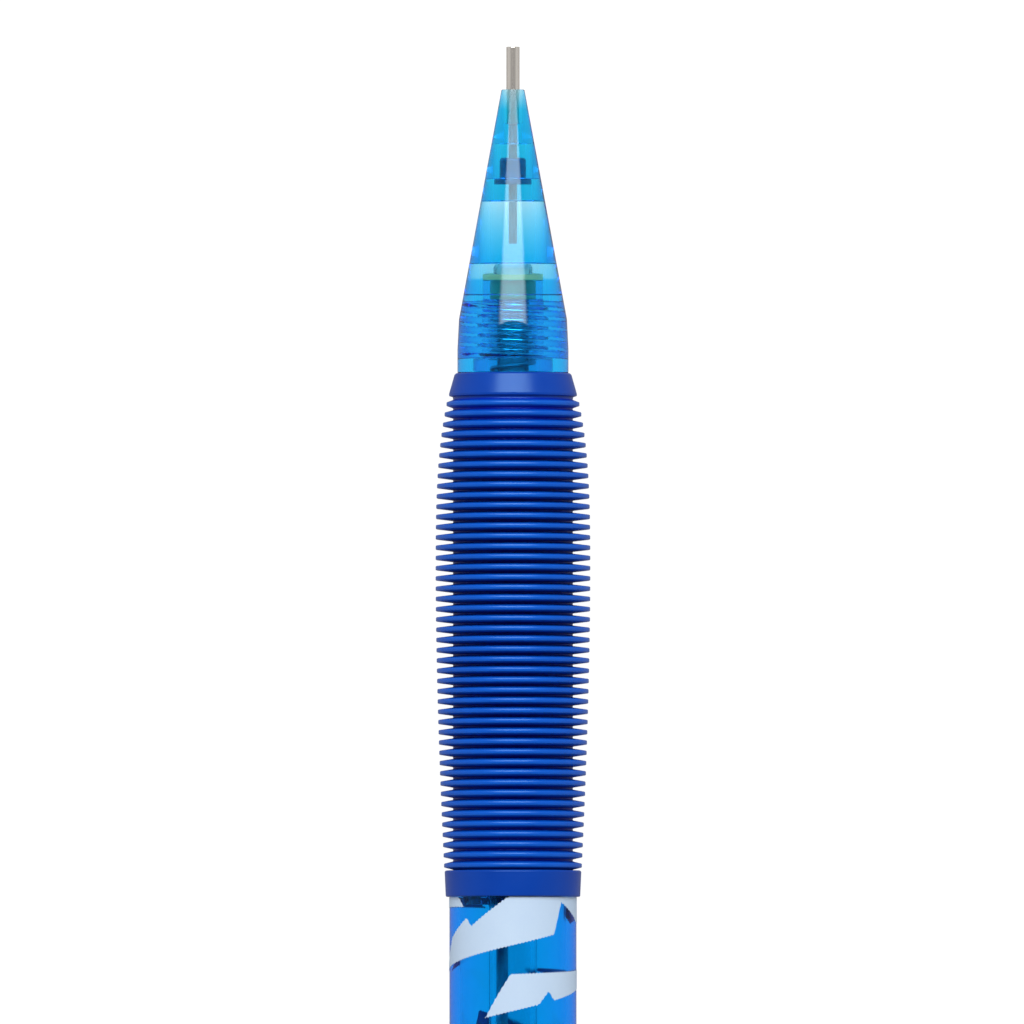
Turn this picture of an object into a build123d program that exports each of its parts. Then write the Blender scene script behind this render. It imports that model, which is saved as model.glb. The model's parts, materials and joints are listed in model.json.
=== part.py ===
"""Mechanical pencil for 0.7 mm lead, with a ribbed rubber grip and a screw-off translucent tip.

The pencil lies along +X. Its origin is the centre of the push cap's flat end face, +X points to the
writing tip, and +Z passes through the pocket clip. Lengths are in millimetres, and d means a diameter.
Most pieces are turned shapes: each is an outline of (x, radius) points spun about the X axis.
"""

import os

from build123d import *

# Driving dimensions
LENGTH = 146.0
BARREL_D = 10.5
GRIP_LENGTH = 43.3
CONE_LENGTH = 23.45
SLEEVE_OUT = 3.55
LEAD_D = 0.70

# Working clearances on the radius, and the end gap between pieces that only meet
RUN = 0.05
SLIP = 0.02
GAP = 0.03

# Stations along X
CONE_FRONT = LENGTH - SLEEVE_OUT
CONE_BACK = CONE_FRONT - CONE_LENGTH
GRIP_FRONT = CONE_BACK - GAP
GRIP_BACK = GRIP_FRONT - GRIP_LENGTH
BARREL_BACK = 20.0
BARREL_FRONT = CONE_BACK - 0.6
NOSE_FRONT = CONE_BACK + 7.5
SPRING_SEAT = NOSE_FRONT - 2.7
TUBE_BACK = 15.05
FLANGE_FRONT = 110.0

# Tip
CONE_TIP_D = 1.9
CONE_BEND_D = 8.93
CONE_BACK_D = 9.18
CONE_TAPER = 19.0
CONE_SWELL = 2.5
SLEEVE_D = 1.10
SLEEVE_BORE_D = 0.78
SLEEVE_SUNK = 2.9
GUIDE_D = 1.0
RETAINER_D = 2.2
RETAINER_FLANGE_D = 3.1
RETAINER_LENGTH = 2.15
POCKET_LENGTH = 3.4
RETAINER_FLANGE = 0.5
CHAMBER_D = 3.8
RING_BORE_D = 5.4

# Screw thread between tip and housing
PITCH = 0.8
THREAD_CORE_D = 5.1
THREAD_CREST_D = 5.9
THREAD_ROOT_WIDTH = 0.46
THREAD_CREST_WIDTH = 0.14
THREAD_BACK = CONE_BACK + 1.3
THREAD_TURNS = 5.25

# Grip
GRIP_BODY_D = 9.9
RIB_COUNT = 46
RIB_FRONT_D = 11.0
RIB_WIDEST_D = 12.8
RIB_BACK_D = 11.4
RIB_FIRST = GRIP_FRONT - 2.55
RIB_LAST = GRIP_BACK + 2.58
RIB_WIDEST = GRIP_BACK + 26.5
RIB_FOOT = 0.64
RIB_CREST = 0.36

# Barrel and housing
BARREL_BORE_D = 8.8
BARREL_NECK_D = 8.8
BARREL_NECK_BORE_D = 7.5
BARREL_SHOULDER = GRIP_BACK + 1.9
HOOK_STEP = GRIP_BACK + 0.7
HOUSING_D = 7.4
HOUSING_BORE_D = 5.6
SPRING_BORE_D = 4.2
HOOK_D = 8.5
HOOK_BACK = GRIP_BACK - 0.65
FINGERS = 6
FINGER_SLOT = 1.3
FINGER_TURN = 32.0

# Lead feed
RING_D = 3.8
RING_FLANGE_D = 5.0
RING_FLANGE = 0.45
RING_BODY = 1.6
RING_SLOPE = 0.0986
RING_MOUTH_D = 3.26
CHUCK_D = 2.6
CHUCK_TAIL_D = 2.0
CHUCK_BORE_D = 0.9
CHUCK_FRONT = CONE_BACK + 8.8
JAW_ROOT = CONE_BACK - 1.05
JAW_SLIT = 0.3
TUBE_D = 4.0
TUBE_BORE_D = 3.0
WIRE_D = 0.35
SPRING_D = 3.5
SPRING_TURNS = 10
LEAD_LENGTH = 60.0
FEED_LEAD_LENGTH = 42.0
SPARE_LEAD_BACK = 28.0
SPARE_LEAD_SPOTS = ((0.86, -0.74), (0.76, 0.0), (0.88, 0.72))

# Rear end
CAP_D = 7.4
CAP_WALL = 0.7
CAP_LENGTH = 17.0
ERASER_D = 5.2
COLLAR_BACK = 12.0
BUSH_BORE_D = 7.6
BUSH_FRONT = 27.0
BUSH_LIP_D = 9.6
CLIP_WIDTH = 3.8
CLIP_SHEET = 0.5
CLIP_X = 14.6
CLIP_TOP = 7.7
CLIP_END = 56.0


def lathe(outline):
    """Solid made by spinning a closed outline of (x, radius) points about the X axis."""
    return revolve(make_face(Polyline(*outline, close=True)), Axis.X)


def tube(x_from, x_to, outer_d, inner_d):
    """Plain round tube."""
    inner, outer = inner_d / 2, outer_d / 2
    return lathe([(x_from, inner), (x_to, inner), (x_to, outer), (x_from, outer)])


def rod(x_from, x_to, d):
    """Plain round rod."""
    return lathe([(x_from, 0), (x_to, 0), (x_to, d / 2), (x_from, d / 2)])


def box_between(x_from, x_to, y_half, z_from, z_to):
    """Block centred on the XZ plane."""
    size = (x_to - x_from, 2 * y_half, z_to - z_from)
    return Pos((x_from + x_to) / 2, 0, (z_from + z_to) / 2) * Box(*size)


def thread(x_from, turns, grow):
    """Helical ridge on the thread's core. grow adds clearance all round, for cutting the mating groove."""
    core = THREAD_CORE_D / 2
    sunk = 0.12
    path = Helix(PITCH, PITCH * turns, core, center=(x_from, 0, 0), direction=(1, 0, 0))
    start = path @ 0
    plane = Plane(origin=start, x_dir=(0, start.Y, start.Z), z_dir=path % 0)
    crest = (THREAD_CREST_D - THREAD_CORE_D) / 2 + grow
    foot_half = THREAD_ROOT_WIDTH / 2 + grow
    crest_half = THREAD_CREST_WIDTH / 2 + grow
    outline = [(-sunk, -foot_half), (0, -foot_half), (crest, -crest_half)]
    outline += [(x, -y) for x, y in reversed(outline)]
    return sweep(plane * make_face(Polyline(*outline, close=True)), path, is_frenet=True)


def lead_sleeve():
    """Thin steel tube that guides the lead at the very tip."""
    edge = 0.06
    inner, outer = SLEEVE_BORE_D / 2, SLEEVE_D / 2
    back = CONE_FRONT - SLEEVE_SUNK
    return lathe([
        (back, inner),
        (LENGTH, inner),
        (LENGTH, outer - edge),
        (LENGTH - edge, outer),
        (back, outer),
    ])


def tip_cone():
    """Screw-off translucent tip: a thick cone with a stepped bore and a female thread at its back."""
    bend = CONE_FRONT - CONE_TAPER
    pocket_front = CONE_FRONT - 4.55
    flange_step = pocket_front - POCKET_LENGTH + RETAINER_FLANGE
    chamber_front = flange_step - 1.85
    chamber_back = NOSE_FRONT + 1.47
    edge = 0.08
    sleeve_r = SLEEVE_D / 2 + 0.01
    pocket_r = RETAINER_D / 2 + SLIP
    flange_r = RETAINER_FLANGE_D / 2 + RUN
    bore_r = THREAD_CORE_D / 2 + RUN
    relief_r = THREAD_CREST_D / 2 + 0.5
    runout_r = THREAD_CREST_D / 2 + 0.15
    thread_front = CONE_BACK + 5.75
    body = lathe([
        (CONE_FRONT, sleeve_r),
        (CONE_FRONT, CONE_TIP_D / 2 - edge),
        (CONE_FRONT - edge, CONE_TIP_D / 2),
        (bend, CONE_BEND_D / 2),
        (bend - CONE_SWELL, CONE_BACK_D / 2),
        (CONE_BACK, CONE_BACK_D / 2),
        (CONE_BACK, relief_r),
        (CONE_BACK + 1.2, relief_r),
        (CONE_BACK + 1.2, bore_r),
        (thread_front, bore_r),
        (thread_front, runout_r),
        (thread_front + 0.6, runout_r),
        (thread_front + 0.6, RING_BORE_D / 2),
        (chamber_back, RING_BORE_D / 2),
        (chamber_back, CHAMBER_D / 2),
        (chamber_front, CHAMBER_D / 2),
        (chamber_front, flange_r),
        (flange_step, flange_r),
        (flange_step, pocket_r),
        (pocket_front, pocket_r),
        (pocket_front, GUIDE_D / 2),
        (CONE_FRONT - SLEEVE_SUNK, GUIDE_D / 2),
        (CONE_FRONT - SLEEVE_SUNK, sleeve_r),
    ])
    return body - thread(THREAD_BACK - PITCH, THREAD_TURNS + 1.75, RUN)


def lead_retainer():
    """Small rubber bush that drags on the lead so that it stays put when the chuck lets go."""
    back = CONE_FRONT - 4.55 - POCKET_LENGTH
    front = back + RETAINER_LENGTH
    step = back + RETAINER_FLANGE - SLIP
    lead_r = LEAD_D / 2 + 0.01
    return lathe([
        (back, lead_r + 0.5),
        (back + 0.4, lead_r),
        (front - 0.3, lead_r),
        (front, lead_r + 0.25),
        (front, RETAINER_D / 2 - 0.15),
        (front - 0.15, RETAINER_D / 2),
        (step, RETAINER_D / 2),
        (step, RETAINER_FLANGE_D / 2),
        (back, RETAINER_FLANGE_D / 2),
    ])


def lead_in_tip():
    """Last length of a used lead, held by the retainer and reaching into the sleeve."""
    return rod(NOSE_FRONT + 3.0, LENGTH - 0.7, LEAD_D)


def feed_lead():
    """Part-used lead that passes from the lead tube through the chuck."""
    front = CHUCK_FRONT - 0.2
    return rod(front - FEED_LEAD_LENGTH, front, LEAD_D)


def spare_leads():
    """Full leads that lie against one side of the lead tube."""
    one = rod(SPARE_LEAD_BACK, SPARE_LEAD_BACK + LEAD_LENGTH, LEAD_D)
    return [Pos(0, y, z) * one for y, z in SPARE_LEAD_SPOTS]


def clutch_ring():
    """Flanged brass ring with a tapered bore that squeezes the chuck shut."""
    back = NOSE_FRONT + GAP - RING_BODY
    front = NOSE_FRONT + GAP + RING_FLANGE
    mouth = RING_MOUTH_D / 2
    return lathe([
        (back, mouth - RING_SLOPE * (front - back)),
        (front, mouth),
        (front, RING_FLANGE_D / 2),
        (NOSE_FRONT + GAP, RING_FLANGE_D / 2),
        (NOSE_FRONT + GAP, RING_D / 2),
        (back, RING_D / 2),
    ])


def chuck_jaws():
    """The chuck's three jaws: a split cone-headed tube, one solid for each jaw."""
    ring_front = NOSE_FRONT + GAP + RING_FLANGE
    head = RING_MOUTH_D / 2 - GAP
    waist = ring_front - (head - CHUCK_D / 2) / RING_SLOPE
    lead_r = LEAD_D / 2 + 0.01
    whole = lathe([
        (JAW_ROOT, CHUCK_BORE_D / 2),
        (CHUCK_FRONT - 2.5, CHUCK_BORE_D / 2),
        (CHUCK_FRONT - 2.3, lead_r),
        (CHUCK_FRONT - 0.15, lead_r),
        (CHUCK_FRONT, lead_r + 0.15),
        (CHUCK_FRONT, head - 0.18),
        (CHUCK_FRONT - 0.3, head + 0.02),
        (ring_front, head),
        (waist, CHUCK_D / 2),
        (JAW_ROOT, CHUCK_D / 2),
    ])
    slit = box_between(JAW_ROOT - 1, CHUCK_FRONT + 1, JAW_SLIT / 2, 0, CHUCK_D)
    for i in range(3):
        whole -= Rot(60 + 120 * i, 0, 0) * slit
    return sorted(whole.solids(), key=lambda s: (round(s.center().Z, 2), s.center().Y), reverse=True)


def chuck_stem():
    """Back of the chuck, from the jaws' root to the connector."""
    front = JAW_ROOT - RUN
    step = FLANGE_FRONT + 2.0
    tail = FLANGE_FRONT - 4.0
    return lathe([
        (tail, CHUCK_BORE_D / 2),
        (front, CHUCK_BORE_D / 2),
        (front, CHUCK_D / 2),
        (step, CHUCK_D / 2),
        (step, CHUCK_TAIL_D / 2),
        (tail, CHUCK_TAIL_D / 2),
    ])


def chuck_spring():
    """Steel spring that pulls the chuck back into its ring, at rest between housing and connector."""
    x_from = FLANGE_FRONT + WIRE_D / 2 + GAP
    height = SPRING_SEAT - WIRE_D - 2 * GAP - FLANGE_FRONT
    path = Helix(height / SPRING_TURNS, height, SPRING_D / 2, center=(x_from, 0, 0), direction=(1, 0, 0))
    plane = Plane(origin=path @ 0, z_dir=path % 0)
    return sweep(plane * Circle(WIRE_D / 2), path, is_frenet=True)


def tube_connector():
    """Links chuck and lead tube, funnels the lead forward and carries the spring on its flange."""
    boss_front = FLANGE_FRONT + 2.0 - GAP
    flange_back = FLANGE_FRONT - 1.5
    tail = FLANGE_FRONT - 4.0
    spigot_back = flange_back - 5.5
    spigot_r = TUBE_BORE_D / 2 - SLIP
    return lathe([
        (spigot_back, spigot_r - 0.25),
        (tail - 0.8, CHUCK_BORE_D / 2),
        (tail - GAP, CHUCK_BORE_D / 2),
        (tail - GAP, CHUCK_TAIL_D / 2),
        (boss_front, CHUCK_TAIL_D / 2),
        (boss_front, CHUCK_TAIL_D / 2 + 0.45),
        (FLANGE_FRONT, CHUCK_TAIL_D / 2 + 0.45),
        (FLANGE_FRONT, HOUSING_BORE_D / 2 - 0.2),
        (flange_back, HOUSING_BORE_D / 2 - 0.2),
        (flange_back, spigot_r),
        (spigot_back, spigot_r),
    ])


def lead_tube():
    """Long plastic tube that stores the leads and carries the push from cap to chuck."""
    return tube(TUBE_BACK, FLANGE_FRONT - 1.5 - GAP, TUBE_D, TUBE_BORE_D)


def mechanism_housing():
    """Inner sleeve of the front half: threaded nose, spring seat, and hooks that snap behind a step."""
    hook_r = HOOK_D / 2
    sleeve_r = HOUSING_D / 2
    nose_r = RING_FLANGE_D / 2
    core_r = THREAD_CORE_D / 2
    spring_stop = SPRING_SEAT - 9.5
    body = lathe([
        (HOOK_BACK, HOUSING_BORE_D / 2),
        (spring_stop, HOUSING_BORE_D / 2),
        (spring_stop, SPRING_BORE_D / 2),
        (SPRING_SEAT, SPRING_BORE_D / 2),
        (SPRING_SEAT, CHUCK_D / 2 + 0.15),
        (SPRING_SEAT + 1.0, CHUCK_D / 2 + 0.15),
        (SPRING_SEAT + 1.0, RING_D / 2 + 0.1),
        (NOSE_FRONT, RING_D / 2 + 0.1),
        (NOSE_FRONT, nose_r - 0.1),
        (NOSE_FRONT - 0.1, nose_r),
        (NOSE_FRONT - 1.6, nose_r),
        (NOSE_FRONT - 1.7, core_r),
        (CONE_BACK + 1.1, core_r),
        (CONE_BACK + 1.1, THREAD_CREST_D / 2 + 0.35),
        (CONE_BACK - GAP, THREAD_CREST_D / 2 + 0.35),
        (CONE_BACK - GAP, BARREL_NECK_D / 2),
        (BARREL_FRONT + GAP, BARREL_NECK_D / 2),
        (BARREL_FRONT + GAP, sleeve_r),
        (HOOK_STEP - GAP, sleeve_r),
        (HOOK_STEP - GAP, hook_r),
        (HOOK_STEP - 0.5, hook_r),
        (HOOK_BACK, hook_r - 0.35),
    ])
    for i in range(FINGERS // 2):
        slot = box_between(HOOK_BACK - 1, HOOK_BACK + 9, FINGER_SLOT / 2, -BARREL_D, BARREL_D)
        body -= Rot(360 / FINGERS * i + FINGER_TURN, 0, 0) * slot
    return body + thread(THREAD_BACK, THREAD_TURNS, 0)


def rib_d(x):
    """Diameter over the rib at x: two parabolas that meet, level, at the widest rib."""
    if x > RIB_WIDEST:
        share = (x - RIB_WIDEST) / (RIB_FIRST - RIB_WIDEST)
        return RIB_WIDEST_D - (RIB_WIDEST_D - RIB_FRONT_D) * share**3.2
    share = (RIB_WIDEST - x) / (RIB_WIDEST - RIB_LAST)
    return RIB_WIDEST_D - (RIB_WIDEST_D - RIB_BACK_D) * share**1.7


def grip():
    """Soft rubber sleeve with a flared front lip, thin round-edged ribs and a plain back band."""
    inner = BARREL_NECK_D / 2 + SLIP
    lap = BARREL_D / 2 + SLIP
    body = GRIP_BODY_D / 2
    step = (RIB_FIRST - RIB_LAST) / (RIB_COUNT - 1)
    edges = [
        Polyline(
            (RIB_FIRST + step / 2, body),
            (RIB_FIRST + step / 2 + 0.25, body + 0.08),
            (GRIP_FRONT - 1.85, 5.28),
            (GRIP_FRONT - 1.7, 5.29),
            (GRIP_FRONT - 0.12, 4.84),
            (GRIP_FRONT, 4.70),
            (GRIP_FRONT, inner),
            (BARREL_SHOULDER + GAP, inner),
            (BARREL_SHOULDER + GAP, lap),
            (GRIP_BACK, lap),
            (GRIP_BACK, 5.56),
            (GRIP_BACK + 2.1, 5.65),
            (GRIP_BACK + 2.22, 5.55),
            (RIB_LAST - step / 2 + 0.1, body),
            (RIB_LAST - RIB_FOOT / 2, body),
        )
    ]
    for i in range(RIB_COUNT):
        x = RIB_LAST + step * i
        crest = rib_d(x) / 2
        shoulder = crest - RIB_CREST / 2
        edges += [
            Line((x - RIB_FOOT / 2, body), (x - RIB_CREST / 2, shoulder)),
            ThreePointArc((x - RIB_CREST / 2, shoulder), (x, crest), (x + RIB_CREST / 2, shoulder)),
            Line((x + RIB_CREST / 2, shoulder), (x + RIB_FOOT / 2, body)),
        ]
        groove_end = x + step - RIB_FOOT / 2 if i < RIB_COUNT - 1 else RIB_FIRST + step / 2
        edges.append(Line((x + RIB_FOOT / 2, body), (groove_end, body)))
    return revolve(make_face(edges), Axis.X)


def barrel():
    """Translucent tube: full width at the back, a thinner neck under the grip."""
    return lathe([
        (BARREL_BACK, BARREL_BORE_D / 2),
        (BARREL_BACK, BARREL_D / 2),
        (BARREL_SHOULDER, BARREL_D / 2),
        (BARREL_SHOULDER, BARREL_NECK_D / 2),
        (BARREL_FRONT, BARREL_NECK_D / 2),
        (BARREL_FRONT, BARREL_NECK_BORE_D / 2),
        (HOOK_STEP, BARREL_NECK_BORE_D / 2),
        (HOOK_STEP, BARREL_BORE_D / 2),
    ])


def clip_collar():
    """Ring at the barrel's end, with the slot that holds the clip's foot."""
    edge = 0.35
    front = BARREL_BACK - GAP
    inner = BARREL_BORE_D / 2
    ring = lathe([
        (COLLAR_BACK, inner),
        (front, inner),
        (front, BARREL_D / 2),
        (COLLAR_BACK + edge, BARREL_D / 2),
        (COLLAR_BACK, BARREL_D / 2 - edge),
    ])
    slot_half = CLIP_SHEET / 2 + 0.12
    slot = box_between(CLIP_X - slot_half, CLIP_X + slot_half, CLIP_WIDTH / 2 + 0.1, 3, BARREL_D)
    return ring - slot


def rear_bush():
    """Lipped bush that joins collar and barrel, and guides the cap and the lead tube."""
    outer = BARREL_BORE_D / 2 - SLIP
    lip_back = COLLAR_BACK - 0.8
    web = BUSH_FRONT - 2.5
    body = lathe([
        (lip_back, BUSH_BORE_D / 2),
        (web, BUSH_BORE_D / 2),
        (web, TUBE_D / 2 + 0.15),
        (BUSH_FRONT, TUBE_D / 2 + 0.15),
        (BUSH_FRONT, outer - 0.3),
        (BUSH_FRONT - 0.3, outer),
        (COLLAR_BACK - GAP, outer),
        (COLLAR_BACK - GAP, BUSH_LIP_D / 2),
        (lip_back + 0.25, BUSH_LIP_D / 2),
        (lip_back, BUSH_LIP_D / 2 - 0.25),
    ])
    foot_half = CLIP_SHEET / 2 + 0.12
    return body - box_between(CLIP_X - foot_half, CLIP_X + foot_half, CLIP_WIDTH / 2 + 0.1, 4.1, BARREL_D)


def pocket_clip():
    """Sprung steel strip: a foot in the collar, a long arm, a bump on the barrel and a turned-up end."""
    half = CLIP_SHEET / 2
    bump_x = CLIP_END - 4.5
    bump_z = BARREL_D / 2 + GAP + half
    line = Line((CLIP_X, 4.45), (CLIP_X, CLIP_TOP - 1.2))
    bend = ThreePointArc(line @ 1, (CLIP_X + 0.35, CLIP_TOP - 0.35), (CLIP_X + 1.2, CLIP_TOP))
    arm = Line(bend @ 1, (bump_x - 4.2, bump_z + 1.2))
    bump = ThreePointArc(arm @ 1, (bump_x, bump_z), (bump_x + 3.2, bump_z + 0.75))
    lip = Line(bump @ 1, (CLIP_END, bump_z + 1.5))
    middle = Wire([e for part in (line, bend, arm, bump, lip) for e in part.edges()])
    strip = offset(middle, amount=half, kind=Kind.INTERSECTION, side=Side.BOTH)
    plate = extrude(Plane.XZ * make_face(strip.edges()), CLIP_WIDTH / 2, both=True)
    plan = Polyline(
        (CLIP_X - 1, -CLIP_WIDTH / 2),
        (CLIP_X + 6, -CLIP_WIDTH / 2),
        (CLIP_END - 1.5, -1.45),
    )
    plan += ThreePointArc((CLIP_END - 1.5, -1.45), (CLIP_END + 0.05, 0), (CLIP_END - 1.5, 1.45))
    plan += Polyline(
        (CLIP_END - 1.5, 1.45),
        (CLIP_X + 6, CLIP_WIDTH / 2),
        (CLIP_X - 1, CLIP_WIDTH / 2),
        (CLIP_X - 1, -CLIP_WIDTH / 2),
    )
    blank = extrude(make_face(plan), 20, both=True)
    return plate & blank


def eraser_ferrule():
    """Aluminium cup for the eraser, with a plug that closes the lead tube."""
    cup = ERASER_D / 2 + SLIP
    outer = cup + 0.33
    plug = TUBE_BORE_D / 2 - SLIP
    return lathe([
        (6.5, cup),
        (12.05, cup),
        (12.05, 0),
        (20.0, 0),
        (20.0, plug - 0.2),
        (19.8, plug),
        (TUBE_BACK - GAP, plug),
        (TUBE_BACK - GAP, TUBE_D / 2),
        (13.6, TUBE_D / 2),
        (13.0, outer),
        (6.5, outer),
    ])


def eraser():
    """White eraser with a rounded end."""
    r = ERASER_D / 2
    block = rod(2.2, 12.0, ERASER_D)
    end = block.edges().filter_by(GeomType.CIRCLE).sort_by(Axis.X)[0]
    return fillet(end, r * 0.25)


def push_cap():
    """Hollow button over the eraser; pressed to feed the lead, pulled off to rub out."""
    inner = CAP_D / 2 - CAP_WALL
    cup = lathe([
        (0, 0),
        (0, CAP_D / 2 - 0.25),
        (4.0, CAP_D / 2),
        (CAP_LENGTH, CAP_D / 2),
        (CAP_LENGTH, inner),
        (1.3, inner),
        (1.3, 0),
    ])
    rim = cup.edges().filter_by(GeomType.CIRCLE).group_by(Axis.X)[0].sort_by(SortBy.RADIUS)[-1]
    return fillet(rim, 0.7)


def main():
    jaw_top, jaw_left, jaw_right = chuck_jaws()
    parts = {
        "lead_sleeve": lead_sleeve(),
        "tip_cone": tip_cone(),
        "lead_retainer": lead_retainer(),
        "lead_in_tip": lead_in_tip(),
        "feed_lead": feed_lead(),
        "spare_leads": Compound(spare_leads()),
        "clutch_ring": clutch_ring(),
        "chuck_jaw_top": jaw_top,
        "chuck_jaw_left": jaw_left,
        "chuck_jaw_right": jaw_right,
        "chuck_stem": chuck_stem(),
        "chuck_spring": chuck_spring(),
        "tube_connector": tube_connector(),
        "lead_tube": lead_tube(),
        "mechanism_housing": mechanism_housing(),
        "grip": grip(),
        "barrel": barrel(),
        "clip_collar": clip_collar(),
        "rear_bush": rear_bush(),
        "pocket_clip": pocket_clip(),
        "eraser_ferrule": eraser_ferrule(),
        "eraser": eraser(),
        "push_cap": push_cap(),
    }
    os.makedirs("parts", exist_ok=True)
    for name, shape in parts.items():
        export_step(shape, f"parts/{name}.step")


main()
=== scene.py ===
"""Looks for the mechanical pencil: clear blue plastic, ribbed rubber, steel, print, and a pale studio.

The pencil lies along X with its tip towards +X. Outlines are lists of (x, radius) in millimetres that are
spun about the X axis. An angle round the pencil is 0 on top (+Z) and grows towards -Y.
"""

import json
import math

import bmesh
import bpy
from mathutils import Matrix, Vector

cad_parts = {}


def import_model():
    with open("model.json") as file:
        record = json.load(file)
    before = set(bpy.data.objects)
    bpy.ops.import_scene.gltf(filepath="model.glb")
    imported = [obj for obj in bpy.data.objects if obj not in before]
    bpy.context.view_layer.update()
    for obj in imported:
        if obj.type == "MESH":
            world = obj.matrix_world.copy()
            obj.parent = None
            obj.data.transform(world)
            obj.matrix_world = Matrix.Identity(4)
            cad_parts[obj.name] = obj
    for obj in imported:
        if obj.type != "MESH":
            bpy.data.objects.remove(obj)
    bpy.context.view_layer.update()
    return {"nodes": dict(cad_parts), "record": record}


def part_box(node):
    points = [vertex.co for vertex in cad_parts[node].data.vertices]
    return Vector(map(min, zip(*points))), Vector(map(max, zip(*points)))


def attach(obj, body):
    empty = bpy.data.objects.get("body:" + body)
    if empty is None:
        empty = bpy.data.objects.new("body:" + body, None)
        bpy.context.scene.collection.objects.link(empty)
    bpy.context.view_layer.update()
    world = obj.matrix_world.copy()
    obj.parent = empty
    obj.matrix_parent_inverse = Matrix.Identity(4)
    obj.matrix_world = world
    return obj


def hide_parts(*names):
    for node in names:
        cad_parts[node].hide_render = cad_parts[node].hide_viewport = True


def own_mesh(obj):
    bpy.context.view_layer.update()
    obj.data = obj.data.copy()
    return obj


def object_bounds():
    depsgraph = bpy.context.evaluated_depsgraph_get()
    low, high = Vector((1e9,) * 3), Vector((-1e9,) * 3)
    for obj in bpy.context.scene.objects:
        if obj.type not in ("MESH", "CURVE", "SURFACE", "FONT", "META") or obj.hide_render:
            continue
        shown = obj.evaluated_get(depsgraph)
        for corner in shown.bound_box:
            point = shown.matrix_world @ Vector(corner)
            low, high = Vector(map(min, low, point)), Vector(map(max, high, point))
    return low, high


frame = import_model()
NODES = frame["nodes"]

MM = 0.001
TURN = 2 * math.pi
FINE = 192
COARSE = 96


def span(node):
    """Back and front of a CAD node along the pencil, in millimetres."""
    low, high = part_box(node)
    return low.x / MM, high.x / MM


def across(node):
    """Width of a CAD node along Y, in millimetres."""
    low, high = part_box(node)
    return (high.y - low.y) / MM


CONE_BACK, CONE_FRONT = span("tip_cone")
SLEEVE_BACK, SLEEVE_FRONT = span("lead_sleeve")
RETAINER_BACK = span("lead_retainer")[0]
HOUSING_BACK, NOSE_FRONT = span("mechanism_housing")
GRIP_BACK, GRIP_FRONT = span("grip")
BARREL_BACK, BARREL_FRONT = span("barrel")
CAP_BACK, CAP_FRONT = span("push_cap")
CLIP_BACK, CLIP_FRONT = span("pocket_clip")
BARREL_R = across("barrel") / 2
CAP_R = across("push_cap") / 2
BARREL_SHOULDER = GRIP_BACK + 1.9
RIB_COUNT = 46
RIB_FIRST = GRIP_FRONT - 2.55
RIB_LAST = GRIP_BACK + 2.58
RIB_WIDEST = GRIP_BACK + 26.5


# ---------------------------------------------------------------- meshes


def finish_mesh(name, verts, faces, sharp_deg=35):
    """Object from millimetre points, with outward faces and smooth shading between sharp edges."""
    mesh = bpy.data.meshes.new(name)
    mesh.from_pydata([Vector(v) * MM for v in verts], [], faces)
    bm = bmesh.new()
    bm.from_mesh(mesh)
    bmesh.ops.remove_doubles(bm, verts=bm.verts, dist=1e-7)
    bmesh.ops.recalc_face_normals(bm, faces=bm.faces)
    bm.to_mesh(mesh)
    bm.free()
    mesh.shade_smooth()
    mesh.set_sharp_from_angle(angle=math.radians(sharp_deg))
    piece = bpy.data.objects.new(name, mesh)
    bpy.context.scene.collection.objects.link(piece)
    return piece


def eased(outline, radius, steps=4, closed=True):
    """The outline with its corners rounded, apart from points on the axis. Guard points flank each corner.

    The two ends of an outline that isn't closed stay as they are.
    """
    count = len(outline)
    result = []
    for i, (x, r) in enumerate(outline):
        corner = Vector((x, r))
        before = Vector(outline[i - 1]) - corner
        after = Vector(outline[(i + 1) % count]) - corner
        angle = before.angle(after) if before.length and after.length else math.pi
        is_end = not closed and i in (0, count - 1)
        if is_end or r < 1e-6 or angle > math.radians(168):
            result.append((x, r))
            continue
        cut = min(radius / math.tan(angle / 2), 0.4 * before.length, 0.4 * after.length)
        start = corner + before.normalized() * cut
        end = corner + after.normalized() * cut
        arc = [start * (1 - t) ** 2 + corner * 2 * t * (1 - t) + end * t * t for t in
               (k / steps for k in range(steps + 1))]
        guards = [corner + side.normalized() * min(cut * 1.3, cut + 0.03) for side in (before, after)]
        result += [(p.x, p.y) for p in (guards[0], *arc, guards[1])]
    return result


def turned(name, outline, segments=FINE, wave=None, sharp_deg=35):
    """Closed mesh spun about X. wave(x, angle) adds to the radius of points that carry a third entry."""
    verts = []
    rings = []
    for point in outline:
        x, r = point[:2]
        if r < 1e-6:
            rings.append([len(verts)])
            verts.append((x, 0, 0))
            continue
        rings.append(list(range(len(verts), len(verts) + segments)))
        for i in range(segments):
            angle = TURN * i / segments
            reach = r + (wave(x, angle) if wave and len(point) > 2 else 0)
            verts.append((x, -reach * math.sin(angle), reach * math.cos(angle)))
    if len(rings[0]) > 1:
        rings.append(rings[0])
    faces = []
    for one, two in zip(rings, rings[1:]):
        for i in range(segments):
            j = (i + 1) % segments
            corners = [one[i % len(one)], one[j % len(one)], two[j % len(two)], two[i % len(two)]]
            face = list(dict.fromkeys(corners))
            if len(face) > 2:
                faces.append(face)
    return finish_mesh(name, verts, faces, sharp_deg)


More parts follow.
